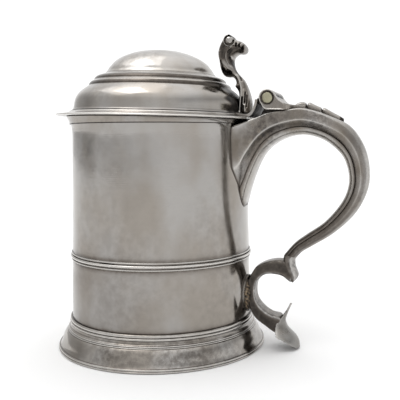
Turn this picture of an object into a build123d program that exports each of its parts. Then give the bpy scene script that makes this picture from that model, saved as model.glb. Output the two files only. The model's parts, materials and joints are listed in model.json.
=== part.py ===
from build123d import *

# Silver lidded tankard: a raised barrel on a spreading foot, a stepped dome lid with a cast
# thumbpiece, and a hollow double-scroll handle that carries the lid's hinge.
# Millimetres, +Z up, +X towards the handle. The origin is the centre of the foot's underside.

import math
import os

os.makedirs("parts", exist_ok=True)

# ---------------------------------------------------------------- driving dimensions

WALL = 1.1  # barrel and foot sheet
LID_WALL = 1.2  # lid sheet
HANDLE_WALL = 1.0  # handle sheet
SEAM_DROP = 0.3  # the solder seam runs this far inside the lower corner of the side
FIT_GAP = 0.2  # seating gap between the lid and the lip
SOLDER_GAP = 0.02  # film of solder between the barrel and what is soldered on it

FOOT_TOP_Z = 20.0  # top of the reeded collar
FOOT_R = 66.0  # widest radius, at the foot rim
COLLAR_Z = 12.2  # bottom of the reeded collar
RIM_Z = 2.6  # top of the foot rim

BARREL_BASE_R = 57.0  # outside radius just above the foot
BARREL_WAIST_R = 54.6  # outside radius under the lip
WAIST_Z = 131.0
GIRDLE_Z = (55.8, 60.9)  # girdle band, bottom and top
LIP_Z = 139.4  # bottom of the lip moulding
LIP_R = 57.7

SEAT_Z = 143.0  # height of the lip at the barrel's axis
SEAT_TILT = 1.5  # degrees: the lip and the lid stand a little high at the front

FLANGE_R = 64.2
FLANGE_CHORD_X = 60.3  # the flange is cut straight where the hinge strap leaves it
LID_HEIGHT = 42.5  # from the lip to the top of the dome

HINGE_X = 71.7
HINGE_Z = 154.1
KNUCKLE_R = 5.0
KNUCKLE_GAP = 0.35
HINGE_HALF_WIDTH = 17.0
LID_KNUCKLE_HALF = 11.8
PIN_R = 1.6
PIN_CLEARANCE = 0.05
PLUG_R = 3.7
PLUG_DEPTH = 1.4

MOUNT_DISC_Z = 33.8  # where the lower scroll meets the barrel
MOUNT_DISC_R = 11.5
MOUNT_FACE_R = 57.6  # radius of the pad's face about the barrel's axis
SIDE_GAP = 0.3  # between the lid's knuckle and the handle's
SHIELD_AXIS_X = 74.0  # the shield is rounded about a vertical axis here
SHIELD_WALL = 1.3

# ---------------------------------------------------------------- shared planes and helpers

tilt = math.radians(SEAT_TILT)
seat_normal = (math.sin(tilt), 0, math.cos(tilt))
seat_x = (math.cos(tilt), 0, -math.sin(tilt))
seat_plane = Plane(origin=(0, 0, SEAT_Z), x_dir=seat_x, z_dir=seat_normal)
lid_section = Plane(origin=(0, 0, SEAT_Z), x_dir=seat_x, z_dir=(0, -1, 0))
lid_axis = Axis((0, 0, SEAT_Z), seat_normal)
hinge_plane = Plane(origin=(HINGE_X, 0, HINGE_Z), x_dir=(1, 0, 0), z_dir=(0, -1, 0))


def save(piece, label):
    """Label a finished piece and write its STEP file."""
    piece.part.label = label
    export_step(piece.part, f"parts/{label}.step")


# ---------------------------------------------------------------- barrel, base and lip

def draw_barrel_side(out):
    """The barrel's outer profile from the foot to the lip, moved outwards by out."""
    Spline(
        (BARREL_BASE_R + out, FOOT_TOP_Z),
        (56.3 + out, 50.0),
        (55.4 + out, 92.0),
        (BARREL_WAIST_R + out, WAIST_Z),
        (55.7 + out, LIP_Z),
        tangents=[(-0.01, 1), (0.35, 1)],
    )


with BuildPart() as barrel_form:
    # The outside of the barrel and lip as one solid, used to cut the pieces soldered onto it.
    with BuildSketch(Plane.XZ):
        with BuildLine():
            Line((0, COLLAR_Z), (BARREL_BASE_R + SOLDER_GAP, COLLAR_Z))
            Line((BARREL_BASE_R + SOLDER_GAP, COLLAR_Z), (BARREL_BASE_R + SOLDER_GAP, FOOT_TOP_Z))
            draw_barrel_side(SOLDER_GAP)
            Line((55.7 + SOLDER_GAP, LIP_Z), (LIP_R + SOLDER_GAP, 142.6))
            Line((LIP_R + SOLDER_GAP, 142.6), (LIP_R + SOLDER_GAP, SEAT_Z + 3))
            Line((LIP_R + SOLDER_GAP, SEAT_Z + 3), (0, SEAT_Z + 3))
            Line((0, SEAT_Z + 3), (0, COLLAR_Z))
        make_face()
    revolve(axis=Axis.Z)
    split(bisect_by=seat_plane, keep=Keep.BOTTOM)

with BuildPart() as barrel:
    with BuildSketch(Plane.XZ):
        with BuildLine():
            Line((BARREL_BASE_R - WALL, COLLAR_Z), (BARREL_BASE_R, COLLAR_Z))
            Line((BARREL_BASE_R, COLLAR_Z), (BARREL_BASE_R, FOOT_TOP_Z))
            draw_barrel_side(0)
            Line((55.7, LIP_Z), (55.7, SEAT_Z + 3))
            Line((55.7, SEAT_Z + 3), (55.7 - WALL, SEAT_Z + 3))
            Line((55.7 - WALL, SEAT_Z + 3), (55.7 - WALL, LIP_Z))
            draw_barrel_side(-WALL)
            Line((BARREL_BASE_R - WALL, FOOT_TOP_Z), (BARREL_BASE_R - WALL, COLLAR_Z))
        make_face()
    revolve(axis=Axis.Z)
    split(bisect_by=seat_plane, keep=Keep.BOTTOM)
save(barrel, "barrel")

with BuildPart() as base_disc:
    # A slightly domed disc, soldered inside the bottom of the barrel.
    with BuildSketch(Plane.XZ):
        with BuildLine():
            edge_r = BARREL_BASE_R - WALL
            Spline((0, 18.6), (edge_r, 15.5), tangents=[(1, 0), (1, -0.12)])
            Line((edge_r, 15.5), (edge_r, 14.3))
            Spline((edge_r, 14.3), (0, 17.4), tangents=[(-1, 0.12), (-1, 0)])
            Line((0, 17.4), (0, 18.6))
        make_face()
    revolve(axis=Axis.Z)
save(base_disc, "base_disc")

with BuildPart() as lip_moulding:
    with BuildSketch(Plane.XZ):
        with BuildLine():
            Line((55.7, LIP_Z), (56.1, LIP_Z + 0.2))
            Spline((56.1, LIP_Z + 0.2), (56.7, 141.2), (LIP_R, 142.6), tangents=[(0.4, 1), (0.7, 1)])
            Line((LIP_R, 142.6), (LIP_R, SEAT_Z + 3))
            Line((LIP_R, SEAT_Z + 3), (55.7, SEAT_Z + 3))
            Line((55.7, SEAT_Z + 3), (55.7, LIP_Z))
        make_face()
    revolve(axis=Axis.Z)
    split(bisect_by=seat_plane, keep=Keep.BOTTOM)
save(lip_moulding, "lip_moulding")

with BuildPart() as girdle_band:
    # Three reeds round the lower barrel.
    low, high = GIRDLE_Z
    reed = (high - low) / 3
    with BuildSketch(Plane.XZ):
        with BuildLine():
            Line((54.9, low), (56.6, low))
            for k, crest in enumerate((57.1, 57.5, 57.1)):
                start = low + k * reed
                ThreePointArc((56.6, start), (crest, start + reed / 2), (56.6, start + reed))
            Line((56.6, high), (54.9, high))
            Line((54.9, high), (54.9, low))
        make_face()
    revolve(axis=Axis.Z)
    add(barrel_form.part, mode=Mode.SUBTRACT)
save(girdle_band, "girdle_band")

# ---------------------------------------------------------------- foot

with BuildPart() as foot_collar:
    # Reeded moulding between the barrel and the skirt: two reeds, a hollow and two fine reeds.
    with BuildSketch(Plane.XZ):
        with BuildLine():
            Line((BARREL_BASE_R, FOOT_TOP_Z), (57.6, FOOT_TOP_Z))
            ThreePointArc((57.6, FOOT_TOP_Z), (58.5, 18.9), (57.9, 17.8))
            ThreePointArc((57.9, 17.8), (58.8, 17.0), (58.2, 16.2))
            ThreePointArc((58.2, 16.2), (58.1, 15.0), (59.1, 14.0))
            ThreePointArc((59.1, 14.0), (59.7, 13.45), (59.4, 12.9))
            ThreePointArc((59.4, 12.9), (60.1, 12.6), (59.9, COLLAR_Z))
            Line((59.9, COLLAR_Z), (BARREL_BASE_R, COLLAR_Z))
            Line((BARREL_BASE_R, COLLAR_Z), (BARREL_BASE_R, FOOT_TOP_Z))
        make_face()
    revolve(axis=Axis.Z)
save(foot_collar, "foot_collar")

with BuildPart() as foot_skirt:
    # Ogee skirt, steep and full in the middle and kicked out again above the rim.
    with BuildSketch(Plane.XZ):
        with BuildLine():
            Spline(
                (59.9, COLLAR_Z),
                (61.6, 10.2),
                (63.0, 7.2),
                (63.9, 4.6),
                (65.0, RIM_Z),
                tangents=[(0.75, -1), (0.6, -1)],
            )
            Line((65.0, RIM_Z), (65.0 - 2 * WALL, RIM_Z))
            Spline(
                (65.0 - 2 * WALL, RIM_Z),
                (61.6, 6.4),
                (59.9, 9.4),
                (57.0, COLLAR_Z),
            )
            Line((57.0, COLLAR_Z), (59.9, COLLAR_Z))
        make_face()
    revolve(axis=Axis.Z)
save(foot_skirt, "foot_skirt")

with BuildPart() as foot_rim:
    # Rim wire: a flat underside and two fine reeds round the edge.
    with BuildSketch(Plane.XZ):
        with BuildLine():
            Line((62.0, 0), (65.4, 0))
            ThreePointArc((65.4, 0), (FOOT_R, 0.75), (65.6, 1.35))
            ThreePointArc((65.6, 1.35), (65.9, 1.9), (65.2, RIM_Z))
            Line((65.2, RIM_Z), (62.0, RIM_Z))
            Line((62.0, RIM_Z), (62.0, 0))
        make_face()
    revolve(axis=Axis.Z)
save(foot_rim, "foot_rim")

# ---------------------------------------------------------------- lid

with BuildPart() as lid_flange:
    with BuildSketch(lid_section):
        with BuildLine():
            Line((52.2, FIT_GAP), (63.4, FIT_GAP))
            ThreePointArc((63.4, FIT_GAP), (FLANGE_R, 0.8), (63.5, 1.4))
            Spline((63.5, 1.4), (59.0, 2.0), (55.6, 3.5), tangents=[(-1, 0.1), (-1, 0.9)])
            Line((55.6, 3.5), (52.2, 3.5))
            Line((52.2, 3.5), (52.2, FIT_GAP))
        make_face()
    revolve(axis=lid_axis)
    with BuildSketch(Plane.XY.offset(SEAT_Z - 10)):
        with Locations((FLANGE_CHORD_X + 10, 0)):
            Rectangle(20, 60)
    extrude(amount=20, mode=Mode.SUBTRACT)
save(lid_flange, "lid_flange")

with BuildPart() as lid_bezel:
    # Inner ring that drops into the barrel's mouth and centres the lid.
    with BuildSketch(lid_section):
        with BuildLine():
            Polyline(
                (52.2, 3.5),
                (52.2, FIT_GAP),
                (53.4, FIT_GAP),
                (53.4, -3.0),
                (52.8, -4.0),
                (51.2, -4.0),
                (51.2, 3.5),
                close=True,
            )
        make_face()
    revolve(axis=lid_axis)
save(lid_bezel, "lid_bezel")

dome_outside = [(53.5, 6.0), (52.7, 10.2), (50.6, 14.2), (45.2, 18.7)]
dome_inside = [(43.6, 18.0), (49.3, 13.3), (51.4, 9.6), (52.2, 6.0)]
crown_outside = [(34.7, 27.0), (32.6, 29.6), (29.2, 34.2), (20.0, 39.1), (0, LID_HEIGHT)]
crown_inside = [(0, LID_HEIGHT - LID_WALL), (19.4, 37.9), (28.2, 33.2), (33.6, 26.0)]


def draw_dome_outside():
    """The lid's outer profile from the flange to the apex."""
    Spline((54.9, 3.5), (53.9, 4.4), dome_outside[0], tangents=[(-0.9, 0.5), (-0.1, 1)])
    Spline(*dome_outside, tangents=[(-0.1, 1), (-1, 0.75)])
    Line((45.2, 18.7), (44.4, 19.4))
    ThreePointArc((44.4, 19.4), (43.4, 21.2), (41.8, 22.4))
    Line((41.8, 22.4), (41.2, 23.2))
    ThreePointArc((41.2, 23.2), (38.2, 25.7), (34.7, 27.0))
    Spline(*crown_outside, tangents=[(-0.75, 0.7), (-1, 0)])


with BuildPart() as lid_dome:
    # One raised sheet: a bulging drum, two steps and the upper dome.
    with BuildSketch(lid_section):
        with BuildLine():
            draw_dome_outside()
            Line((0, LID_HEIGHT), crown_inside[0])
            Spline(*crown_inside, tangents=[(1, 0), (0.75, -0.7)])
            Polyline(crown_inside[-1], (40.2, 22.3), dome_inside[0])
            Spline(*dome_inside, tangents=[(1, -0.75), (0.1, -1)])
            Polyline((52.2, 6.0), (52.2, 3.5), (54.9, 3.5))
        make_face()
    revolve(axis=lid_axis)
save(lid_dome, "lid_dome")

with BuildPart() as lid_form:
    # The whole lid as one solid, used to cut the pieces that sit on it.
    with BuildSketch(lid_section):
        with BuildLine():
            draw_dome_outside()
            Polyline((0, LID_HEIGHT), (0, FIT_GAP), (54.9, FIT_GAP), (54.9, 3.5))
        make_face()
    revolve(axis=lid_axis)
    add(lid_flange.part)

# ---------------------------------------------------------------- lid strap, knuckle and thumbpiece

strap_top = [(53.0, 145.6), (57.5, 144.8), (60.0, 144.8), (62.3, 146.4), (64.0, 150.0), (64.6, 153.2)]
strap_under = [(66.1, 153.2), (65.4, 149.6), (63.9, 146.2), (61.2, 143.3), (59.5, 142.9), (53.0, 144.0)]
with BuildPart() as lid_strap:
    # Plate on the back of the flange that curls up to the lid's hinge knuckle.
    with BuildSketch(Plane.XZ):
        with BuildLine():
            Spline(*strap_top, tangents=[(1, -0.15), (0.05, 1)])
            Line(strap_top[-1], strap_under[0])
            Spline(*strap_under, tangents=[(-0.05, -1), (-1, 0.15)])
            Line(strap_under[-1], strap_top[0])
        make_face()
    extrude(amount=HINGE_HALF_WIDTH, both=True)
    with BuildSketch(hinge_plane):
        Circle(KNUCKLE_R + KNUCKLE_GAP)
    extrude(amount=HINGE_HALF_WIDTH, both=True, mode=Mode.SUBTRACT)
    with BuildSketch(hinge_plane):
        Circle(KNUCKLE_R)
        with Locations((-3.4, -1.7)):
            Rectangle(6.8, 3.4)
    extrude(amount=LID_KNUCKLE_HALF, both=True)
    with BuildSketch(hinge_plane):
        Circle(PIN_R + PIN_CLEARANCE)
    extrude(amount=LID_KNUCKLE_HALF, both=True, mode=Mode.SUBTRACT)
    add(lid_form.part, mode=Mode.SUBTRACT)
save(lid_strap, "lid_strap")

thumb_back = [(59.4, 147.0), (58.9, 156.0), (55.0, 166.0), (49.0, 175.0), (49.6, 181.2), (56.8, 184.4)]
thumb_top = [(56.8, 184.4), (56.6, 187.2), (51.0, 190.6), (45.6, 193.0), (39.4, 188.0)]
thumb_face = [(39.4, 188.0), (37.8, 183.0), (38.4, 176.0), (40.2, 169.6), (44.0, 167.6), (48.7, 166.0)]
thumb_foot = [(48.7, 166.0), (48.6, 162.6), (50.6, 157.0), (51.6, 147.0)]
thumb_width = [(8.6, 142.0), (8.2, 150.0), (5.2, 160.0), (4.6, 166.0), (6.4, 174.0), (7.4, 183.0), (7.2, 195.0)]
with BuildPart() as thumbpiece:
    # Cast double-scroll thumbpiece: its side outline, narrowed to a waist as seen from the front.
    with BuildSketch(Plane.XZ):
        with BuildLine():
            Spline(*thumb_back)
            Spline(*thumb_top)
            Spline(*thumb_face)
            Spline(*thumb_foot)
            Polyline(thumb_foot[-1], (51.6, 142.0), (59.4, 142.0), thumb_back[0])
        make_face()
    extrude(amount=10, both=True)
    with BuildSketch(Plane.YZ):
        with BuildLine():
            Spline(*thumb_width)
            Spline(*[(-y, z) for y, z in thumb_width])
            Line((8.6, 142.0), (-8.6, 142.0))
            Line((7.2, 195.0), (-7.2, 195.0))
        make_face()
    extrude(amount=80, mode=Mode.INTERSECT)
    add(lid_strap.part, mode=Mode.SUBTRACT)
    add(lid_form.part, mode=Mode.SUBTRACT)
save(thumbpiece, "thumbpiece")

for side, name in ((-1, "thumb_volute_right"), (1, "thumb_volute_left")):
    with BuildPart() as thumb_volute:
        # Round boss in the eye of the top scroll.
        with BuildSketch(Plane(origin=(44.9, side * 6.4, 189.2), x_dir=(1, 0, 0), z_dir=(0, side, 0))):
            Circle(2.9)
        extrude(amount=1.9)
        add(thumbpiece.part, mode=Mode.SUBTRACT)
    save(thumb_volute, name)

# ---------------------------------------------------------------- handle

# Upper scroll stations: back crest (x, z), inner crest (x, z), half width, and how far the
# section has changed from the flat-topped joint on the barrel (0) to the bevelled scroll (1).
upper_stations = [
    ((49.0, 137.2), (49.0, 82.0), 20.2, 0.0),
    ((55.5, 139.2), (55.5, 88.0), 19.0, 0.0),
    ((60.0, 140.8), (60.0, 103.6), 18.0, 0.0),
    ((66.0, 143.2), (66.0, 118.0), 17.0, 0.05),
    ((73.0, 145.9), (73.0, 126.0), 16.4, 0.1),
    ((82.0, 147.4), (82.0, 130.8), 15.4, 0.2),
    ((93.0, 148.2), (92.0, 132.4), 14.0, 0.35),
    ((107.2, 143.9), (102.3, 130.0), 12.6, 0.6),
    ((120.0, 136.8), (110.6, 124.5), 11.6, 0.95),
    ((128.4, 123.6), (116.1, 117.8), 10.6, 1.0),
    ((131.0, 108.6), (118.7, 107.6), 9.8, 1.0),
    ((128.8, 96.6), (117.6, 98.6), 9.1, 1.0),
    ((121.9, 84.4), (112.9, 89.6), 8.3, 1.0),
    ((110.0, 73.2), (104.2, 79.6), 7.3, 1.0),
    ((97.4, 65.2), (93.0, 71.6), 6.7, 1.0),
    ((91.0, 61.2), (85.9, 66.1), 6.5, 1.0),
    ((86.7, 56.4), (79.8, 58.8), 6.3, 1.0),
]
# Right half of the section, (half-width fraction, depth fraction from back to inside): three
# points of the back strap's edge, the ridge of the side, the solder seam and the inner strap.
joint_section = [(0.50, 0.0), (0.88, 0.004), (1.0, 0.02), (0.985, 0.45), (0.58, 0.72), (0.14, 0.985)]
scroll_section = [(0.26, 0.0), (0.43, 0.07), (0.60, 0.15), (1.0, 0.40), (0.84, 0.72), (0.30, 0.995)]
# Lower scroll stations: outside of the C, its inside and the half width.
lower_stations = [
    ((78.9, 56.2), (85.1, 42.3), 5.8),
    ((69.6, 55.0), (73.9, 47.1), 5.8),
    ((61.6, 50.0), (66.3, 45.3), 5.8),
    ((57.8, 42.0), (62.6, 40.4), 5.8),
    ((57.6, 31.0), (62.4, 32.0), 5.8),
    ((61.2, 20.4), (66.3, 26.0), 5.9),
    ((68.6, 14.3), (71.8, 22.2), 6.0),
    ((76.2, 9.6), (77.4, 21.0), 5.9),
    ((78.6, 11.6), (79.0, 18.8), 3.0),
]
lower_section = [(0.45, 0.0), (1.0, 0.22), (1.0, 0.78), (0.45, 1.0)]


def station_plane(back, inner):
    """Plane through a scroll's two crests: x along +Y, y from its inside to its back."""
    middle = ((back[0] + inner[0]) / 2, 0, (back[1] + inner[1]) / 2)
    rise = Vector(back[0] - inner[0], 0, back[1] - inner[1]).normalized()
    return Plane(origin=middle, x_dir=(0, 1, 0), z_dir=Vector(0, 1, 0).cross(rise))


def outline(back, inner, half_width, section):
    """Right half of a station's outline in its own plane, from back to inside."""
    depth = math.dist(back, inner)
    return [(b * half_width, depth * (0.5 - d)) for b, d in section]


def blended(share):
    """Section between the joint's and the scroll's."""
    return [
        (j[0] + share * (s[0] - j[0]), j[1] + share * (s[1] - j[1]))
        for j, s in zip(joint_section, scroll_section)
    ]


def both_sides(half):
    """Whole closed outline from its right half."""
    return half + [(-x, y) for x, y in reversed(half)]


def inset(points, wall):
    """The corners of a closed clockwise outline moved inwards by the sheet's thickness."""
    moved = []
    for k, here in enumerate(points):
        before = Vector(*here) - Vector(*points[k - 1])
        after = Vector(*points[(k + 1) % len(points)]) - Vector(*here)
        n1 = Vector(before.Y, -before.X).normalized()
        n2 = Vector(after.Y, -after.X).normalized()
        corner = Vector(*here) + (n1 + n2) * (wall / (1 + n1.dot(n2)))
        moved.append((corner.X, corner.Y))
    return moved


def loft_stations(outlines, planes):
    """Loft closed outlines through their planes, inside the current part."""
    sections = []
    for points, plane in zip(outlines, planes):
        with BuildSketch(plane) as section:
            with BuildLine():
                Polyline(*points, close=True)
            make_face()
        sections.append(section.sketch.face())
    loft(sections)


upper_planes = [station_plane(back, inner) for back, inner, *_ in upper_stations]
upper_outlines = [
    both_sides(outline(back, inner, width, blended(share)))
    for back, inner, width, share in upper_stations
]
upper_insets = [inset(points, HANDLE_WALL) for points in upper_outlines]
strap_outlines = [
    both_sides([(seam[0] + 2, seam[1] - SEAM_DROP), (seam[0] + 2, inside[1] - 2)])
    for _, _, _, _, seam, inside, *_ in upper_outlines
]
lower_planes = [station_plane(back, inner) for back, inner, _ in lower_stations]
lower_outlines = [
    both_sides(outline(back, inner, width, lower_section)) for back, inner, width in lower_stations
]
lower_insets = [inset(points, HANDLE_WALL) for points in lower_outlines]

with BuildPart() as handle_form:
    # The upper scroll as one solid, used to cut the pieces that sit on it.
    loft_stations(upper_outlines, upper_planes)

with BuildPart() as handle_shell:
    # The same scroll hollowed out to the sheet's thickness.
    loft_stations(upper_insets, upper_planes)
    add(handle_form.part - handle_shell.part, mode=Mode.REPLACE)
    add(barrel_form.part, mode=Mode.SUBTRACT)

with BuildPart() as strap_region:
    # Everything on the inner side of the two solder seams.
    loft_stations(strap_outlines, upper_planes)

with BuildPart() as handle_back:
    # U-shaped outer sheet of the upper scroll: back strap, bevels and sides down to the seams.
    add(handle_shell.part)
    add(strap_region.part, mode=Mode.SUBTRACT)
save(handle_back, "handle_back")

with BuildPart() as handle_inner:
    # Rounded strap that closes the scroll on the inside of the curve.
    add(handle_shell.part)
    add(strap_region.part, mode=Mode.INTERSECT)
save(handle_inner, "handle_inner")

with BuildPart() as handle_end_cap:
    # Curled end of the upper scroll, closed by a shaped plate.
    with BuildSketch(Plane.XZ):
        with BuildLine():
            Polyline((86.7, 56.4), (79.8, 58.8), (78.9, 56.2), (85.1, 42.3))
            Spline((85.1, 42.3), (88.4, 44.2), (88.3, 48.6), (86.4, 53.4), (86.7, 56.4))
        make_face()
    extrude(amount=6.2, both=True)
save(handle_end_cap, "handle_end_cap")

# ---------------------------------------------------------------- terminal shield

shield_front = [(85.4, 29.6), (82.6, 23.6), (80.8, 18.0), (81.8, 14.2), (84.0, 11.3), (87.2, 7.9), (89.2, 4.5), (89.8, 0.4)]
shield_back = [(x - SHIELD_WALL, z) for x, z in reversed(shield_front)]
shield_side = [(0, 28.6), (3.4, 23.6), (5.6, 18.6), (8.2, 13.4), (12.0, 8.6), (10.6, 4.8), (5.6, 1.7), (0, 1.0)]
shield_axis = Axis((SHIELD_AXIS_X, 0, 0), (0, 0, 1))

with BuildPart() as terminal_shield:
    # Shield-shaped end plate: hollow from top to bottom, rounded from side to side.
    with BuildSketch(Plane.XZ):
        with BuildLine():
            Spline(*shield_front)
            Line(shield_front[-1], shield_back[0])
            Spline(*shield_back)
            Line(shield_back[-1], shield_front[0])
        make_face()
    revolve(axis=shield_axis)
    with BuildSketch(Plane.YZ.offset(SHIELD_AXIS_X)):
        with BuildLine():
            Spline(*shield_side)
            Spline(*[(-y, z) for y, z in shield_side])
        make_face()
    extrude(amount=30, mode=Mode.INTERSECT)
save(terminal_shield, "terminal_shield")

# ---------------------------------------------------------------- lower scroll and its mount

with BuildPart() as lower_form:
    loft_stations(lower_outlines, lower_planes)

with BuildPart() as lower_hollow:
    loft_stations(lower_insets[1:-2], lower_planes[1:-2])

with BuildPart() as lower_scroll:
    # Hollow C scroll from the end of the upper scroll to the shield.
    add(lower_form.part)
    add(lower_hollow.part, mode=Mode.SUBTRACT)
    add(terminal_shield.part, mode=Mode.SUBTRACT)
save(lower_scroll, "lower_scroll")

with BuildPart() as lower_mount_disc:
    # Round pad that spreads the lower scroll's load on the barrel.
    with BuildSketch(Plane.YZ.offset(50)):
        with Locations((0, MOUNT_DISC_Z)):
            Circle(MOUNT_DISC_R)
    extrude(amount=10)
    with BuildSketch(Plane.XY.offset(MOUNT_DISC_Z - 15)):
        Circle(MOUNT_FACE_R)
    extrude(amount=30, mode=Mode.INTERSECT)
    add(barrel_form.part, mode=Mode.SUBTRACT)
    add(lower_form.part, mode=Mode.SUBTRACT)
save(lower_mount_disc, "lower_mount_disc")

with BuildPart() as lower_mount_boss:
    # Solder fillet between the pad and the scroll.
    with BuildSketch(Plane.YZ.offset(55)):
        with Locations((0, MOUNT_DISC_Z - 1.6)):
            Ellipse(6.8, 7.8)
    extrude(amount=4.6)
    add(barrel_form.part, mode=Mode.SUBTRACT)
    add(lower_mount_disc.part, mode=Mode.SUBTRACT)
    add(lower_form.part, mode=Mode.SUBTRACT)
save(lower_mount_boss, "lower_mount_boss")

# ---------------------------------------------------------------- handle hinge

with BuildPart() as hinge_box:
    # Box and leaf soldered on the handle; its two outer knuckles carry the pin.
    with BuildSketch(Plane.XZ):
        with Locations((HINGE_X, HINGE_Z)):
            Circle(KNUCKLE_R)
        with BuildLine():
            Spline((76.2, 156.2), (78.6, 153.0), (82.0, 150.8), (93.0, 150.0), tangents=[(0.6, -1), (1, 0)])
            Polyline((93.0, 150.0), (93.0, 146.8), (71.6, 147.2), (69.2, 148.4), (68.0, 150.8))
            Polyline((68.0, 150.8), (HINGE_X, HINGE_Z), (76.2, 156.2))
        make_face()
    extrude(amount=HINGE_HALF_WIDTH, both=True)
    with BuildSketch(Plane.XY.offset(140)):
        with BuildLine():
            Polyline((81.0, -17.0), (60.0, -17.0), (60.0, 17.0), (81.0, 17.0))
            Spline((81.0, 17.0), (84.4, 12.6), (87.0, 7.0), (93.0, 4.0), tangents=[(0.8, -0.6), (1, -0.2)])
            Line((93.0, 4.0), (93.0, -4.0))
            Spline((93.0, -4.0), (87.0, -7.0), (84.4, -12.6), (81.0, -17.0), tangents=[(-1, -0.2), (-0.8, -0.6)])
        make_face()
    extrude(amount=30, mode=Mode.INTERSECT)
    add(handle_form.part, mode=Mode.SUBTRACT)
    with BuildSketch(hinge_plane):
        Circle(KNUCKLE_R + KNUCKLE_GAP)
        with Locations((-5.6, 0)):
            Rectangle(6.0, 16)
    extrude(amount=LID_KNUCKLE_HALF + SIDE_GAP, both=True, mode=Mode.SUBTRACT)
    with BuildSketch(hinge_plane):
        Circle(PIN_R)
    extrude(amount=HINGE_HALF_WIDTH, both=True, mode=Mode.SUBTRACT)
    for side in (-1, 1):
        face = Plane(origin=(HINGE_X, side * HINGE_HALF_WIDTH, HINGE_Z), x_dir=(1, 0, 0), z_dir=(0, side, 0))
        with BuildSketch(face):
            Circle(PLUG_R)
        extrude(amount=-PLUG_DEPTH, mode=Mode.SUBTRACT)
save(hinge_box, "hinge_box")

with BuildPart() as hinge_pin:
    with BuildSketch(hinge_plane):
        Circle(PIN_R)
    extrude(amount=HINGE_HALF_WIDTH - PLUG_DEPTH, both=True)
save(hinge_pin, "hinge_pin")

for side, name in ((-1, "hinge_plug_right"), (1, "hinge_plug_left")):
    with BuildPart() as hinge_plug:
        seat = side * (HINGE_HALF_WIDTH - PLUG_DEPTH)
        with BuildSketch(Plane(origin=(HINGE_X, seat, HINGE_Z), x_dir=(1, 0, 0), z_dir=(0, side, 0))):
            Circle(PLUG_R)
        extrude(amount=PLUG_DEPTH - 0.2)
    save(hinge_plug, name)

drop_crests = [
    [(85.0, 149.6), (87.5, 151.4), (90.2, 152.3), (93.2, 150.9)],
    [(93.2, 150.9), (94.9, 151.8), (98.6, 149.3), (102.3, 148.3)],
    [(102.3, 148.3), (104.2, 148.3), (108.6, 145.7), (115.4, 141.9)],
]
with BuildPart() as hinge_drop:
    # Three-lobed drop that runs from the leaf down the handle's back.
    with BuildSketch(Plane.XZ):
        with BuildLine():
            for crest in drop_crests:
                Spline(*crest)
            Polyline((115.4, 141.9), (115.4, 136.0), (85.0, 144.0), (85.0, 149.6))
        make_face()
    extrude(amount=6, both=True)
    with BuildSketch(Plane.XY.offset(130)):
        with BuildLine():
            Spline((85.0, 3.4), (90.0, 4.2), (98.0, 3.6), (107.0, 3.0), (115.4, 1.2))
            Line((115.4, 1.2), (115.4, -1.2))
            Spline((85.0, -3.4), (90.0, -4.2), (98.0, -3.6), (107.0, -3.0), (115.4, -1.2))
            Line((85.0, -3.4), (85.0, 3.4))
        make_face()
    extrude(amount=30, mode=Mode.INTERSECT)
    add(handle_form.part, mode=Mode.SUBTRACT)
    add(hinge_box.part, mode=Mode.SUBTRACT)
save(hinge_drop, "hinge_drop")
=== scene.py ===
import json
import math
import random

import bmesh
import bpy
import numpy as np
from mathutils import Matrix, Vector, noise


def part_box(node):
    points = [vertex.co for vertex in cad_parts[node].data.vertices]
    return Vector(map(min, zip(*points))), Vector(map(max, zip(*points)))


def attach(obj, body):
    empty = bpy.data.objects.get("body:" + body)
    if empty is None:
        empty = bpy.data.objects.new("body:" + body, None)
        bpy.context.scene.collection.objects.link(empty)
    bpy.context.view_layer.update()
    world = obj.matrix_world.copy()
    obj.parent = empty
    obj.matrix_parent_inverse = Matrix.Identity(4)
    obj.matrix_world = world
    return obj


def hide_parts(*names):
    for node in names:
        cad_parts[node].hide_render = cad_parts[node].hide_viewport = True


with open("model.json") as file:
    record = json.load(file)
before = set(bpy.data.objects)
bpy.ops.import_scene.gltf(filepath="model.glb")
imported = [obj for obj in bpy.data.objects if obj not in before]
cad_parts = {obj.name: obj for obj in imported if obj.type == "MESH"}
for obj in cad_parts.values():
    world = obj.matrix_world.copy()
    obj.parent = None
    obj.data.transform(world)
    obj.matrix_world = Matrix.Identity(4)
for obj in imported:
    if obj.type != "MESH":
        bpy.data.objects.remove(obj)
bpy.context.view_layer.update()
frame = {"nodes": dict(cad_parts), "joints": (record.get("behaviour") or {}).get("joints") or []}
nodes = frame["nodes"]
MM = 0.001
FULL_TURN = 2 * math.pi

# ---- driving dimensions (mm)


def edge_of(node, side, axis):
    """Lowest (side 0) or highest (side 1) coordinate of a CAD node along an axis, in mm."""
    return round(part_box(node)[side][axis] / MM, 2)


SEAT_Z = 143.0  # height of the lip at the barrel's axis
SEAT_TILT = math.radians(1.5)
WALL = 1.1  # barrel sheet
LIP_Z = edge_of("lip_moulding", 0, 2)
FLANGE_CHORD_X = edge_of("lid_flange", 1, 0)  # the flange is cut straight here, at the hinge
BOX_HALF = edge_of("hinge_box", 1, 1)  # half length of the hinge box along its pin
HINGE_X, _, HINGE_Z = (round(value / MM, 2) for value in frame["joints"][0]["pos_m"])

# ---- camera

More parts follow.
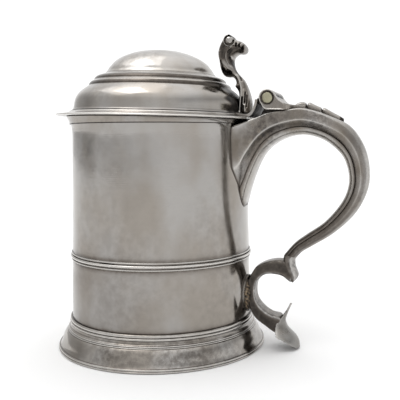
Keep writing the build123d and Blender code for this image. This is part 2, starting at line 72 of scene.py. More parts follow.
AZIMUTH = math.radians(13.05)
DROP = math.radians(5.26)
ROLL = math.radians(-0.14)
CAMERA_PLACE = (142.14, -390.54, 129.1)
SENSOR_WIDTH = 36
FOCAL_LENGTH = 58.05
PICTURE_SHIFT = -0.1
NEAREST = 0.01  # metres
camera_data = bpy.data.cameras.new("camera")
camera = bpy.data.objects.new("camera", camera_data)
bpy.context.scene.collection.objects.link(camera)
bpy.context.scene.camera = camera
level = math.cos(DROP)
look = Vector((-math.sin(AZIMUTH) * level, math.cos(AZIMUTH) * level, -math.sin(DROP)))
turn = look.to_track_quat("-Z", "Y").to_matrix().to_4x4() @ Matrix.Rotation(ROLL, 4, "Z")
camera.matrix_world = Matrix.Translation(Vector(CAMERA_PLACE) * MM) @ turn
camera_data.sensor_width = SENSOR_WIDTH
camera_data.lens = FOCAL_LENGTH
camera_data.shift_x = PICTURE_SHIFT
camera_data.clip_start = NEAREST

# ---- node helpers


class Nodes:
    """Short calls for building a node tree."""

    def __init__(self, owner):
        owner.use_nodes = True
        self.tree = owner.node_tree
        self.shader = self.tree.nodes.get("Principled BSDF") or self.tree.nodes["Background"]

    def add(self, kind, **settings):
        node = self.tree.nodes.new(kind)
        for key, value in settings.items():
            setattr(node, key, value)
        return node

    def link(self, source, target):
        self.tree.links.new(source, target)

    def math(self, operation, a, b=0.5):
        node = self.add("ShaderNodeMath", operation=operation)
        for socket, value in zip(node.inputs, (a, b)):
            if isinstance(value, (int, float)):
                socket.default_value = value
            else:
                self.link(value, socket)
        return node.outputs[0]

    def ramp(self, value, low, high, start=0.0, end=1.0):
        """Value mapped from low..high to start..end, clamped."""
        node = self.add("ShaderNodeMapRange")
        node.inputs["From Min"].default_value = low
        node.inputs["From Max"].default_value = high
        node.inputs["To Min"].default_value = start
        node.inputs["To Max"].default_value = end
        self.link(value, node.inputs["Value"])
        return node.outputs["Result"]

    def mix(self, factor, a, b):
        """Colour a turning into colour b as the factor socket goes from 0 to 1."""
        node = self.add("ShaderNodeMix", data_type="RGBA")
        self.link(factor, node.inputs[0])
        for socket, value in ((node.inputs[6], a), (node.inputs[7], b)):
            if isinstance(value, tuple):
                socket.default_value = (*value, 1)
            else:
                self.link(value, socket)
        return node.outputs[2]

    def noise(self, scale, detail=3.0, rough=0.55, stretch=(1, 1, 1), shift=(0, 0, 0)):
        """Noise in the object's own coordinates, scale in turns a metre."""
        place = self.add("ShaderNodeMapping")
        place.inputs["Scale"].default_value = stretch
        place.inputs["Location"].default_value = shift
        self.link(self.coordinates, place.inputs["Vector"])
        node = self.add("ShaderNodeTexNoise")
        node.inputs["Scale"].default_value = scale
        node.inputs["Detail"].default_value = detail
        node.inputs["Roughness"].default_value = rough
        self.link(place.outputs[0], node.inputs["Vector"])
        return node.outputs["Fac"]


# ---- materials

COOL = (0.346, 0.333, 0.318)
WARM = (0.288, 0.263, 0.234)
DARK = (0.120, 0.106, 0.094)
# BROWN and the near black after it colour tarnish and also painted shade; BRIGHT is a painted
# highlight on rubbed bright metal.
BROWN = (0.120, 0.104, 0.090)
OXIDE_AND_SHADE = (0.012, 0.011, 0.011)
BRIGHT = (0.62, 0.60, 0.57)
PATCH_STRETCH = (1, 1, 0.55)  # patches stand taller than wide
LONG_SCRATCH = 0.0000035  # depths, in metres
FINE_SCRATCH = 0.0000030


def patchy_tone(n, grain, cool, warm, dark, patch, dark_share, shift, blotch):
    """Cool metal with warm patches, dark blotches and small dark specks."""
    patches = n.noise(patch, 3.0, 0.55, PATCH_STRETCH, shift)
    blotches = n.noise(patch * 0.45, 2.0, 0.5, PATCH_STRETCH, (0.3 + shift[0], 0.1, 0.7))
    specks = n.noise(900.0, 2.0, 0.6)
    tone = n.mix(n.ramp(patches, 0.40, 0.62), cool, warm)
    stain = n.math("MULTIPLY", n.ramp(blotches, *blotch), n.ramp(grain, 0.38, 0.62))
    tone = n.mix(n.math("MULTIPLY", stain, dark_share), tone, dark)
    return n.mix(n.math("MULTIPLY", n.ramp(specks, 0.60, 0.75), 0.12), tone, dark)


def tarnish_and_shade_share(n, grain, painted, crevice, crevice_depth, shaded_side):
    """Tarnish of hollows, painted tarnish with painted shade, and painted shade on faces that look
    towards the given side.
    """
    hollow = n.add("ShaderNodeAmbientOcclusion", samples=8, only_local=False)
    hollow.inputs["Distance"].default_value = crevice
    shade = n.ramp(hollow.outputs["AO"], 0.35, 0.85, 1.0, 0.0)
    broken = n.ramp(grain, 0.30, 0.60, 0.75, 1.0)
    tarnish = n.math("MULTIPLY", n.math("MULTIPLY", shade, crevice_depth), broken)
    tarnish = n.math("MAXIMUM", tarnish, n.math("MULTIPLY", painted, broken))
    if shaded_side:
        facing = n.add("ShaderNodeVectorMath", operation="DOT_PRODUCT")
        n.link(n.add("ShaderNodeTexCoord").outputs["Normal"], facing.inputs[0])
        facing.inputs[1].default_value = shaded_side
        tarnish = n.math("MAXIMUM", tarnish, n.ramp(facing.outputs["Value"], 0.1, 0.5))
    return tarnish


def wear_marks(n, grain, dents):
    """Bump normal of soft dents, a fine grain and two sets of scratches."""
    across = n.ramp(n.noise(60.0, 2.0, 0.5, (1, 1, 40)), 0.55, 0.75)
    along = n.ramp(n.noise(70.0, 2.0, 0.5, (26, 26, 1.4), (0.5, 0.2, 0.9)), 0.60, 0.75)
    height = n.math("MULTIPLY", n.noise(55.0, 2.0, 0.5), dents)
    height = n.math("ADD", height, n.math("MULTIPLY", grain, dents * 0.06))
    height = n.math("ADD", height, n.math("MULTIPLY", across, LONG_SCRATCH))
    height = n.math("ADD", height, n.math("MULTIPLY", along, FINE_SCRATCH))
    bump = n.add("ShaderNodeBump")
    bump.inputs["Strength"].default_value = 1.0
    bump.inputs["Distance"].default_value = 1.0
    n.link(height, bump.inputs["Height"])
    return bump.outputs[0]


def silver(
    name,
    cool=COOL,
    warm=WARM,
    dark=DARK,
    rough=0.20,
    patch=32.0,
    dark_share=0.35,
    crevice=0.0025,
    crevice_depth=0.8,
    dents=0.00012,
    shift=(0, 0, 0),
    blotch=(0.50, 0.72),
    shaded_side=None,
):
    """Old silver. A vertex attribute paints tarnish and painted shade towards 1, and painted
    highlights on rubbed bright metal towards -1.
    """
    material = bpy.data.materials.new(name)
    n = Nodes(material)
    n.coordinates = n.add("ShaderNodeTexCoord").outputs["Object"]
    grain = n.noise(patch * 7, 4.0, 0.65, (1, 1, 1), (0.9, 0.4, 0.2))
    painted = n.add("ShaderNodeAttribute", attribute_name="tarnish_and_painted_light").outputs["Fac"]
    tarnish = tarnish_and_shade_share(n, grain, painted, crevice, crevice_depth, shaded_side)
    tone = patchy_tone(n, grain, cool, warm, dark, patch, dark_share, shift, blotch)
    tone = n.mix(n.ramp(tarnish, 0.0, 0.5), tone, BROWN)
    tone = n.mix(n.ramp(tarnish, 0.45, 1.0), tone, OXIDE_AND_SHADE)
    tone = n.mix(n.ramp(painted, 0.0, -1.0), tone, BRIGHT)
    n.link(tone, n.shader.inputs["Base Color"])
    rub = n.noise(patch * 2.2, 4.0, 0.6, (1, 1, 0.8), (0.2, 0.8, 0.1))
    gloss = n.ramp(rub, 0.35, 0.65, rough - 0.05, rough + 0.09)
    gloss = n.math("ADD", gloss, n.math("MULTIPLY", tarnish, 0.18))
    n.link(gloss, n.shader.inputs["Roughness"])
    n.shader.inputs["Metallic"].default_value = 1.0
    n.link(wear_marks(n, grain, dents), n.shader.inputs["Normal"])
    return material


barrel_silver = silver(
    "barrel_silver", rough=0.12, dark_share=0.30, blotch=(0.44, 0.66), crevice=0.0010,
    crevice_depth=0.6, dents=0.00010
)
lid_silver = silver("lid_silver", rough=0.17, patch=42.0, dark_share=0.55, shift=(0.4, 0, 0))
foot_silver = silver(
    "foot_silver", rough=0.14, patch=40.0, dark_share=0.75, blotch=(0.44, 0.66),
    shift=(0.1, 0, 0.3)
)
band_silver = silver("band_silver", patch=50.0, crevice=0.0012, dark_share=0.4)
handle_silver = silver(
    "handle_silver", warm=(0.200, 0.176, 0.148), dark=(0.060, 0.055, 0.055), rough=0.22,
    crevice=0.0015, patch=52.0, dark_share=0.95, blotch=(0.42, 0.60), shift=(0.6, 0, 0.1)
)
cast_silver = silver(
    "cast_silver", rough=0.25, patch=110.0, dark_share=0.85, crevice=0.004, crevice_depth=0.95,
    shift=(0.2, 0, 0)
)
shield_silver = silver(
    "shield_silver", cool=(0.25, 0.243, 0.232), warm=(0.20, 0.188, 0.172), rough=0.30, patch=120.0,
    dark_share=0.35, crevice_depth=0.6, shift=(0.7, 0.2, 0)
)
# The strap's faces that look back and down, towards the handle, get painted shade.
strap_silver = silver(
    "strap_silver", rough=0.25, patch=110.0, crevice=0.004, shaded_side=(0.75, 0.0, -0.66)
)
pin_alloy = silver(
    "pin_alloy", cool=(0.34, 0.325, 0.235), warm=(0.27, 0.25, 0.17), rough=0.42, patch=160.0,
    dark_share=0.3
)
solder_metal = silver(
    "solder_metal", cool=(0.34, 0.25, 0.15), warm=(0.20, 0.14, 0.08), rough=0.40, patch=200.0,
    dark_share=0.8
)
# CAD nodes that no piece replaces show in these; any other CAD node is cast silver.
CAD_FINISH = {
    "base_disc": barrel_silver,
    "lid_bezel": lid_silver,
    "lid_strap": strap_silver,
    "hinge_pin": pin_alloy,
}
for name, node in nodes.items():
    node.data.materials.clear()
    node.data.materials.append(CAD_FINISH.get(name, cast_silver))

# ---- mesh helpers


def unit(value):
    """Value kept between 0 and 1."""
    return min(1.0, max(0.0, value))


def curve(points, steps=6):
    """Catmull-Rom curve through points of any length of tuple, end points kept."""
    out = []
    last = len(points) - 1
    for k in range(last):
        p0, p1, p2, p3 = (points[max(0, min(last, k + j))] for j in (-1, 0, 1, 2))
        for step in range(steps):
            t = step / steps
            weights = (
                0.5 * (-t + 2 * t * t - t**3),
                0.5 * (2 - 5 * t * t + 3 * t**3),
                0.5 * (t + 4 * t * t - 3 * t**3),
                0.5 * (-t * t + t**3),
            )
            near = list(zip(weights, (p0, p1, p2, p3)))
            out.append(tuple(sum(w * p[i] for w, p in near) for i in range(len(p1))))
    out.append(tuple(points[last]))
    return out


TURNED_SHARP = 38  # degrees between faces that meet in a crisp edge


def reed(start, end, rise, steps=8, tarnish_and_painted_light=1.0, shine=0.6):
    """Half-round bead between two profile points, rise proud: dark feet, a painted highlight along the
    crest.
    """
    (r0, z0), (r1, z1) = start, end
    length = math.hypot(r1 - r0, z1 - z0)
    nr, nz = -(z1 - z0) / length, (r1 - r0) / length
    if nr < 0:
        nr, nz = -nr, -nz
    out = []
    for step in range(steps + 1):
        angle = math.pi * step / steps
        along = 0.5 - 0.5 * math.cos(angle)
        proud = rise * math.sin(angle)
        foot = max(0.0, 1 - 2.6 * math.sin(angle))
        crest = max(0.0, 2 * math.sin(angle) - 1)
        r, z = r0 + (r1 - r0) * along + nr * proud, z0 + (z1 - z0) * along + nz * proud
        out.append((r, z, tarnish_and_painted_light * foot - shine * crest))
    return out


def with_tarnish_and_light(points, value=0.0):
    """Give the points that have no value of tarnish and painted light this one."""
    return [(*p[:2], p[2] if len(p) > 2 else value) for p in points]


def finish_mesh(name, bm, body, replaced, material, sharp):
    """Turn a bmesh into a piece: normals, shading, material and body, and hide the nodes it stands
    for.
    """
    bmesh.ops.remove_doubles(bm, verts=bm.verts, dist=1e-7)
    bmesh.ops.recalc_face_normals(bm, faces=bm.faces)
    mesh = bpy.data.meshes.new(name)
    bm.to_mesh(mesh)
    bm.free()
    mesh.polygons.foreach_set("use_smooth", [True] * len(mesh.polygons))
    mesh.set_sharp_from_angle(angle=math.radians(sharp))
    mesh.materials.append(material)
    piece = bpy.data.objects.new(name, mesh)
    bpy.context.scene.collection.objects.link(piece)
    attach(piece, body)
    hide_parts(*replaced)


def turned(name, profile, body, replaced, material, move=None, segments=256, paint=None):
    """Revolve a closed (radius, height, tarnish and painted light) profile, move its points and paint
    tarnish and painted shade on it.
    """
    bm = bmesh.new()
    tarnish_and_light_layer = bm.verts.layers.float.new("tarnish_and_painted_light")
    rings = []
    for r, z, dark in profile:
        ring = []
        count = 1 if r < 1e-6 else segments
        for k in range(count):
            angle = FULL_TURN * k / segments
            point = Vector((r * math.cos(angle), r * math.sin(angle), z))
            vert = bm.verts.new((move(point, angle) if move else point) * MM)
            vert[tarnish_and_light_layer] = max(dark, paint(r, z, angle)) if paint else dark
            ring.append(vert)
        rings.append(ring)
    for k, ring in enumerate(rings):
        after = rings[(k + 1) % len(rings)]
        if len(ring) == 1 and len(after) == 1:
            continue
        for j in range(segments):
            a, b = ring[j % len(ring)], ring[(j + 1) % len(ring)]
            c, d = after[(j + 1) % len(after)], after[j % len(after)]
            corners = []
            for v in (a, b, c, d):
                if v not in corners:
                    corners.append(v)
            if len(corners) > 2:
                bm.faces.new(corners)
    finish_mesh(name, bm, body, replaced, material, TURNED_SHARP)


def round_noise(angle, spread, height):
    """Noise that closes on itself round a turned piece."""
    return noise.noise(Vector((math.cos(angle) * spread, math.sin(angle) * spread, height)))


MEAN_RADIUS = 55  # mm, of the walls that have dents


def dent_field(seed, count, reach, depth):
    """A few soft hammer dents on a round wall, as a radial offset in mm."""
    rng = random.Random(seed)
    dents = []
    for _ in range(count):
        place = rng.uniform(0, FULL_TURN), rng.uniform(10, 180)
        dents.append((*place, rng.uniform(0.6, 1.4) * reach, rng.uniform(0.4, 1.0) * depth))

    def offset(angle, z):
        total = 0.0
        for a, h, size, deep in dents:
            turn_by = (angle - a + math.pi) % FULL_TURN - math.pi
            d2 = ((turn_by * MEAN_RADIUS) ** 2 + (z - h) ** 2) / size**2
            if d2 < 9:
                total -= deep * math.exp(-d2)
        return total

    return offset


# ---- barrel, base and mouldings

BARREL_SIDE = [
    (57.0, 12.2), (57.0, 20.0), (56.72, 32.0), (56.3, 50.0), (55.95, 68.0), (55.4, 92.0),
    (54.95, 114.0), (54.6, 131.0), (54.78, 136.2), (55.15, 138.3), (55.65, 139.4),
]
barrel_dents = dent_field(7, 46, 13.0, 0.16)


def barrel_radius(z):
    for (r0, z0), (r1, z1) in zip(BARREL_SIDE, BARREL_SIDE[1:]):
        if z <= z1:
            return r0 + (r1 - r0) * max(0.0, (z - z0) / (z1 - z0))
    return BARREL_SIDE[-1][0]


def on_seat(point, angle):
    """Shear what lies above the lip moulding's foot so that the rim follows the tilted seat."""
    share = max(0.0, (point.z - LIP_Z) / (SEAT_Z - LIP_Z))
    return Vector((point.x, point.y, point.z - share * point.x * math.tan(SEAT_TILT)))


def dented_barrel(point, angle):
    radius = math.hypot(point.x, point.y)
    fade = unit((point.z - 21) / 6) * unit((136 - point.z) / 6)
    soft = 0.16 * round_noise(angle, 2.1, point.z * 0.028)
    push = (barrel_dents(angle, point.z) + soft) * fade
    moved = Vector((point.x, point.y, 0)) * ((radius + push) / radius)
    return on_seat(Vector((moved.x, moved.y, point.z)), angle)


REED_EDGES = (20.0, 55.6, 61.1)  # top of the collar, both sides of the girdle


def tarnish_and_shade_of_barrel(r, z, angle):
    """Tarnish left beside the reeds, and painted shade low on the front left."""
    if r < 54.0 or z > 138.0:
        return -1.0
    beside_reeds = max(math.exp(-abs(z - edge) / 1.1) for edge in REED_EDGES)
    low = unit((78.0 - z) / 30.0)
    left = max(0.0, math.cos(angle + 2.25)) ** 3
    patchy = 0.75 + 0.5 * round_noise(angle, 3.0, z * 0.05)
    return 0.62 * beside_reeds + 0.30 * low * left * patchy


FINE = 320  # segments of the large smooth pieces
side = curve(BARREL_SIDE, 12)
outside = [(r, z, 0.85 if z < 20.3 or z > 139.1 else 0.0) for r, z in side]
outside += [(55.7, 141.0, 0.0), (55.5, 142.9, 0.0)]
inside = [(55.0, 143.0, 0.0), (54.6, 142.7, 0.0)]
inside += [(r - WALL, z, 0.0) for r, z in reversed(side)]
turned(
    "barrel_sheet", outside + inside, "tankard", ["barrel"], barrel_silver,
    dented_barrel, FINE, tarnish_and_shade_of_barrel
)

lip = [(55.62, 139.15, 1.0), (55.95, 139.2, 1.0), (56.08, 139.6, 1.0)]
lip += with_tarnish_and_light(curve([
    (56.1, 139.7), (56.55, 140.9), (57.25, 142.1), (57.65, 142.6), (57.6, 142.9), (57.2, 143.0),
], 4))
lip += [(56.0, 143.0, 0.0), (55.6, 142.8, 0.0), (55.62, 141.0, 0.0)]
turned("lip_ring", lip, "tankard", ["lip_moulding"], band_silver, on_seat)

girdle = [(56.0, 55.85, 1.0)]
girdle += reed((56.4, 55.85), (56.4, 56.95), 0.42, shine=0.5)
girdle += [(56.0, 57.1, 1.0), (56.0, 57.4, 1.0)]
girdle += reed((56.4, 57.5), (56.4, 59.3), 1.0, 12, 0.9, 0.9)
girdle += [(56.0, 59.4, 1.0), (56.0, 59.7, 1.0)]
girdle += reed((56.35, 59.8), (56.3, 60.85), 0.42, shine=0.5)
girdle += [(56.0, 60.9, 1.0)]
turned("girdle_reeds", girdle, "tankard", ["girdle_band"], band_silver)

# ---- foot

collar = [(57.0, 20.0, 1.0), (57.6, 20.0, 0.6)]
collar += reed((57.7, 19.9), (57.75, 17.85), 0.75)
collar += reed((57.9, 17.85), (58.1, 16.25), 0.7)
collar += with_tarnish_and_light(curve([(58.25, 16.2), (58.15, 15.3), (58.5, 14.4), (59.1, 13.95)], 4), 0.1)
collar += reed((59.1, 13.9), (59.3, 12.95), 0.42)
collar += reed((59.5, 12.9), (59.8, 12.2), 0.34)
collar += [(57.0, 12.2, 0.0)]
turned("foot_reeds", collar, "tankard", ["foot_collar"], foot_silver)

skirt_out = curve([
    (59.9, 12.2), (60.5, 11.6), (61.5, 10.2), (62.9, 7.3), (63.8, 4.7), (64.6, 3.1),
    (65.05, 2.62),
], 5)
skirt = [(r, z, 0.7 if z > 12.0 or z < 2.9 else 0.0) for r, z in skirt_out]
skirt += with_tarnish_and_light(curve([(62.2, 2.62), (61.4, 6.2), (59.6, 9.4), (57.0, 12.2)], 5), 0.15)
foot_dents = dent_field(11, 30, 9.0, 0.12)


def dented_foot(point, angle):
    radius = math.hypot(point.x, point.y)
    fade = max(0.0, min(1.0, (point.z - 2.6) / 1.5, (12.2 - point.z) / 1.5))
    factor = 1 + foot_dents(angle, point.z * 8) * fade / radius
    return Vector((point.x * factor, point.y * factor, point.z))


turned(
    "foot_ogee", skirt, "tankard", ["foot_skirt"], foot_silver, dented_foot, FINE
)
rim = [(62.0, 0.0, 0.0), (65.3, 0.0, 0.0)] + reed((65.45, 0.05), (65.5, 1.35), 0.5)
rim += reed((65.5, 1.35), (65.2, 2.6), 0.4) + [(62.0, 2.6, 0.5)]
turned("foot_rim_wire", rim, "tankard", ["foot_rim"], foot_silver)

# ---- lid

tilted = Matrix.Translation((0, 0, SEAT_Z)) @ Matrix.Rotation(SEAT_TILT, 4, "Y")
lid_dents = dent_field(23, 34, 9.0, 0.16)


def dented_lid(point, angle):
    radius = math.hypot(point.x, point.y)
    if radius < 1:
        return tilted @ point
    fade = unit((point.z - 5) / 3)
    push = lid_dents(angle, point.z * 3.2 + 20) * fade
    push += round_noise(angle, 2, point.z * 0.09) * 0.12 * fade
    factor = 1 + push / radius
    return tilted @ Vector((point.x * factor, point.y * factor, point.z + 0.3 * push))


def flange_point(point, angle):
    placed = tilted @ point
    wave = 0.12 * round_noise(angle, 1.6, 4.2) * (point.xy.length - 54) / 10
    return Vector((min(placed.x, FLANGE_CHORD_X), placed.y, placed.z + wave))


# The flange's underside is darkened as painted shade.
flange = [(52.2, 0.2, 0.0), (57.9, 0.2, 0.4), (60.0, 0.2, 0.2), (63.2, 0.2, 0.1)]
# The bead round the edge and the top slope carry a painted highlight on rubbed bright metal.
flange_bead = curve([(63.3, 0.22), (64.0, 0.42), (64.2, 0.8), (63.95, 1.2), (63.3, 1.42)], 4)
flange += with_tarnish_and_light(flange_bead, -0.85)
flange += with_tarnish_and_light(curve([
    (62.9, 1.38), (60.4, 1.75), (58.2, 2.15), (56.6, 2.6), (55.7, 3.15), (55.5, 3.5),
], 4), -0.3)
flange += [(54.9, 3.5, 1.0), (52.2, 3.5, 0.0)]
turned(
    "lid_flange_plate", flange, "lid", ["lid_flange"], lid_silver, flange_point
)

drum = curve([
    (54.95, 3.5), (54.35, 3.9), (53.75, 4.9), (53.45, 6.4), (53.0, 9.0), (52.3, 11.3),
    (51.0, 13.6), (48.9, 15.9), (46.8, 17.6), (45.1, 18.8),
], 6)
dome = [(r, z, 1.0 if z < 4.1 else 0.0) for r, z in drum] + [(44.7, 19.1, 0.9)]
step_one = curve([(44.5, 19.4), (44.25, 20.2), (43.5, 21.2), (42.5, 22.0), (41.7, 22.45)], 4)
dome += [(r, z, 0.72 if z < 21.3 else 0.0) for r, z in step_one] + [(41.35, 22.75, 0.9)]
step_two = curve([
    (41.15, 23.15), (40.75, 24.0), (39.6, 24.95), (37.6, 25.85), (35.6, 26.55), (34.9, 26.8),
], 4)
dome += [(r, z, 0.66 if z < 25.0 else 0.0) for r, z in step_two] + [(34.6, 27.05, 0.55)]
crown = curve([
    (34.3, 27.4), (33.4, 28.5), (32.3, 30.3), (31.0, 32.0), (28.9, 34.3), (25.4, 36.9),
    (20.6, 39.1), (14.4, 41.0), (7.2, 42.15), (0.0, 42.5),
], 6)
# The crown carries a faint painted highlight.
dome += with_tarnish_and_light(crown, -0.12)
hollow_side = [
    (0.0, 41.3), (7.2, 40.95), (14.0, 39.8), (20.0, 37.9), (24.6, 35.8), (27.9, 33.3),
    (30.2, 30.9), (32.6, 27.6), (33.8, 25.9), (39.4, 23.6), (40.4, 21.8), (43.4, 18.6),
    (45.8, 16.9), (49.4, 13.4), (51.2, 10.4), (52.2, 6.2), (52.2, 3.5),
]
dome += with_tarnish_and_light(curve(hollow_side, 3))


def thumb_shade_and_tarnish(r, z, angle):
    """Painted shade and dark reflection of the thumbpiece and strap on the drum behind them, with
    tarnish left there.
    """
    if r < 44.0 or z > 19.0:
        return -1.0
    off = abs((angle + math.pi) % FULL_TURN - math.pi) + 0.05 * math.sin(z * 0.9)
    reach = 0.40 - 0.10 * max(0.0, (z - 12.0) / 7.0)
    return 1.0 if off < reach - 0.05 else max(-1.0, 1.0 - (off - reach + 0.05) / 0.06)


turned(
    "lid_dome_sheet", dome, "lid", ["lid_dome"], lid_silver, dented_lid, FINE,
    thumb_shade_and_tarnish
)

# ---- lofted scrolls


def station_frame(back, inner):
    """Middle, rise (inside to back) and half depth of a station, in the plane Y = 0."""
    back, inner = Vector((back[0], 0, back[1])), Vector((inner[0], 0, inner[1]))
    rise = back - inner
    return (back + inner) / 2, rise.normalized(), rise.length / 2


def chaikin(points, rounds=2):
    """Soften a closed outline by cutting its corners."""
    for _ in range(rounds):
        cut = []
        for k, p in enumerate(points):
            q = points[(k + 1) % len(points)]
            cut.append(tuple(0.75 * a + 0.25 * b for a, b in zip(p, q)))
            cut.append(tuple(0.25 * a + 0.75 * b for a, b in zip(p, q)))
        points = cut
    return points


def lofted(name, rings, node, material=handle_silver, sharp=50):
    """Skin closed rings of ((x, y, z), tarnish and painted light) and cap both ends."""
    bm = bmesh.new()
    layer = bm.verts.layers.float.new("tarnish_and_painted_light")
    made = []
    for ring in rings:
        verts = []
        for point, dark in ring:
            vert = bm.verts.new(Vector(point) * MM)
            vert[layer] = dark
            verts.append(vert)
        made.append(verts)
    for one, two in zip(made, made[1:]):
        for j in range(len(one)):
            k = (j + 1) % len(one)
            bm.faces.new((one[j], one[k], two[k], two[j]))
    bm.faces.new(made[0][::-1])
    bm.faces.new(made[-1])
    finish_mesh(name, bm, "tankard", [node], material, sharp)


# Upper scroll: back point, inner point, half width, share of the scroll section in the joint one.
UPPER = [
    ((49.0, 137.2), (49.0, 82.0), 20.6, 0.0),
    ((53.0, 138.4), (53.0, 82.6), 20.0, 0.0),
    ((55.5, 139.2), (55.5, 88.0), 19.4, 0.0),
    ((60.0, 140.8), (60.0, 103.6), 18.0, 0.0),
    ((66.0, 143.2), (66.0, 118.0), 17.0, 0.05),
    ((73.0, 145.9), (73.0, 126.0), 16.4, 0.1),
    ((82.0, 147.4), (82.0, 130.8), 15.4, 0.2),
    ((93.0, 148.2), (92.0, 132.4), 14.0, 0.35),
    ((107.2, 143.9), (102.3, 130.0), 12.6, 0.6),
    ((120.0, 136.8), (110.6, 124.5), 11.6, 0.95),
    ((128.4, 123.6), (116.1, 117.8), 10.6, 1.0),
    ((131.0, 108.6), (118.7, 107.6), 9.8, 1.0),
    ((128.8, 96.6), (117.6, 98.6), 9.1, 1.0),
    ((121.9, 84.4), (112.9, 89.6), 8.3, 1.0),
    ((110.0, 73.2), (104.2, 79.6), 7.3, 1.0),
    ((97.4, 65.2), (93.0, 71.6), 6.7, 1.0),
    ((91.0, 61.2), (85.9, 66.1), 6.5, 1.0),
    ((86.7, 56.4), (79.8, 58.8), 6.3, 1.0),
]
# Right half of each section: (share of the half width, share of the depth from the back, tarnish).
# Negative tarnish is a painted highlight along the back, the edges and the ridges.
JOINT_BACK = [
    (0.50, 0.0, 0.1), (0.97, 0.0, -0.2), (1.0, 0.015, -0.7), (0.999, 0.045, 0.25),
    (1.0, 0.42, 0.22), (0.975, 0.46, -0.8), (0.93, 0.49, 0.0), (0.58, 0.72, 0.36),
]
SCROLL_BACK = [
    (0.26, 0.0, -0.3), (0.44, 0.07, -0.3), (0.60, 0.15, -0.2), (0.66, 0.18, 0.25),
    (0.96, 0.36, 0.34), (1.0, 0.40, -0.35), (0.99, 0.46, 0.3), (0.84, 0.72, 0.36),
]
JOINT_INNER = [(0.58, 0.722), (0.14, 0.985)]
SCROLL_INNER = [(0.84, 0.722), (0.30, 0.995)]


def blend_half(joint, scroll, share):
    """Half section between that of the joint (share 0) and that of the scroll (share 1)."""
    return [tuple(p + share * (q - p) for p, q in zip(a, b)) for a, b in zip(joint, scroll)]


def clip_to_barrel(point):
    """Keep a handle point outside the middle of the barrel's wall."""
    least = math.sqrt(max(0.0, (barrel_radius(point[2]) - 0.5) ** 2 - point[1] ** 2))
    return (max(point[0], least), point[1], point[2])


def upper_rings(make_section):
    """Rings of the upper scroll, darker towards its lower end and where they meet the barrel."""
    flat = [(*back, *inner, width, share) for back, inner, width, share in UPPER]
    rings = []
    for bx, bz, ix, iz, width, share in curve(flat, 8):
        middle, rise, half_depth = station_frame((bx, bz), (ix, iz))
        aged = unit((100.0 - bz) / 30.0)
        ring = []
        for across, depth, dark in make_section(width, unit(share), half_depth):
            dark += aged * (0.52 - dark if depth > 0.38 else 0.28)
            spot = middle + rise * (half_depth * (1 - 2 * depth))
            spot = clip_to_barrel((spot.x, across, spot.z))
            near = spot[0] - math.sqrt(max(0.0, barrel_radius(spot[2]) ** 2 - across**2))
            ring.append((spot, max(dark, 1.0 - near / 0.9) if near < 0.9 else dark))
        rings.append(ring)
    return rings


def back_section(width, share, half_depth):
    """U-shaped sheet: back strap, bevels and sides, down to the seam."""
    right = [(b * width, d, g) for b, d, g in blend_half(JOINT_BACK, SCROLL_BACK, share)]
    left = [(-b, d, g) for b, d, g in reversed(right)]
    floor_depth = right[-1][1] - 0.02
    inner = [(0.35 * width, floor_depth, 0.3), (-0.35 * width, floor_depth, 0.3)]
    return chaikin(right + inner + left, 2)


def inner_section(width, share, half_depth):
    """Rounded strap that closes the scroll on its inside, from the seam on."""
    half = blend_half(JOINT_INNER, SCROLL_INNER, share)
    (b0, d0), (b1, d1) = half
    lift = 0.25 / (2 * half_depth)
    right = [(b0 * width - 0.15, d0 - 0.03, 0.6), (b0 * width - 0.1, d0 + lift, 0.3)]
    # The rounded face is painted light as a reflection of the bright room below.
    for k in range(1, 5):
        t = k / 4
        swell = math.sin(t * math.pi / 2)
        across = (b0 + (b1 - b0) * (1 - math.sqrt(1 - swell * swell * 0.96))) * width
        right.append((across, d0 + (d1 - d0) * swell, -0.3))
    left = [(-b, d, g) for b, d, g in reversed(right)]
    return chaikin(right + left, 1)


lofted("handle_back_sheet", upper_rings(back_section), "handle_back")
lofted("handle_inner_strap", upper_rings(inner_section), "handle_inner")

# ---- handle end, lower scroll, shield, mount

END_CAP = [
    ((87.6, 57.6), (80.6, 60.0), 6.3),
    ((86.7, 56.0), (79.8, 58.0), 6.3),
    ((86.9, 52.6), (79.9, 54.0), 6.2),
    ((88.1, 49.0), (81.5, 49.8), 6.1),
    ((88.8, 46.6), (83.3, 46.0), 6.0),
    ((87.6, 44.1), (84.6, 43.3), 5.9),
    ((86.3, 42.8), (85.6, 42.5), 5.8),
]
# In the end cap's and the lower scroll's sections a negative value is a painted highlight on an edge.
CAP_SECTION = [
    (0.26, 0.0, -0.1), (0.55, 0.10, 0.0), (0.93, 0.30, -0.6), (1.0, 0.38, -0.4),
    (0.99, 0.50, 0.45), (0.92, 0.90, 0.5), (0.60, 1.0, 0.6),
]
LOWER = [
    ((81.5, 55.6), (86.0, 43.6), 5.6),
    ((78.9, 56.2), (84.1, 42.6), 5.8),
    ((74.4, 56.1), (79.3, 46.0), 5.8),
    ((69.6, 55.0), (73.9, 47.1), 5.8),
    ((65.2, 53.0), (69.5, 46.9), 5.8),
    ((61.6, 50.0), (66.3, 45.3), 5.8),
    ((57.8, 42.0), (62.6, 40.4), 5.8),
    ((57.6, 31.0), (62.4, 32.0), 5.8),
    ((61.2, 20.4), (66.3, 26.0), 5.9),
    ((68.6, 14.3), (71.8, 22.2), 6.0),
    ((76.2, 9.6), (77.4, 21.0), 5.9),
    ((78.6, 11.6), (79.0, 18.8), 3.0),
]
# The lower scroll's sides are darkened as painted shade, the dark reflection of the room in front.
LOWER_SECTION = [
    (0.45, 0.0, 0.5), (0.90, 0.03, 0.4), (0.985, 0.10, 0.1), (1.0, 0.14, 0.86),
    (1.0, 0.80, 0.80), (0.97, 0.86, -0.5), (0.86, 0.985, 0.2), (0.45, 1.0, 0.25),
]


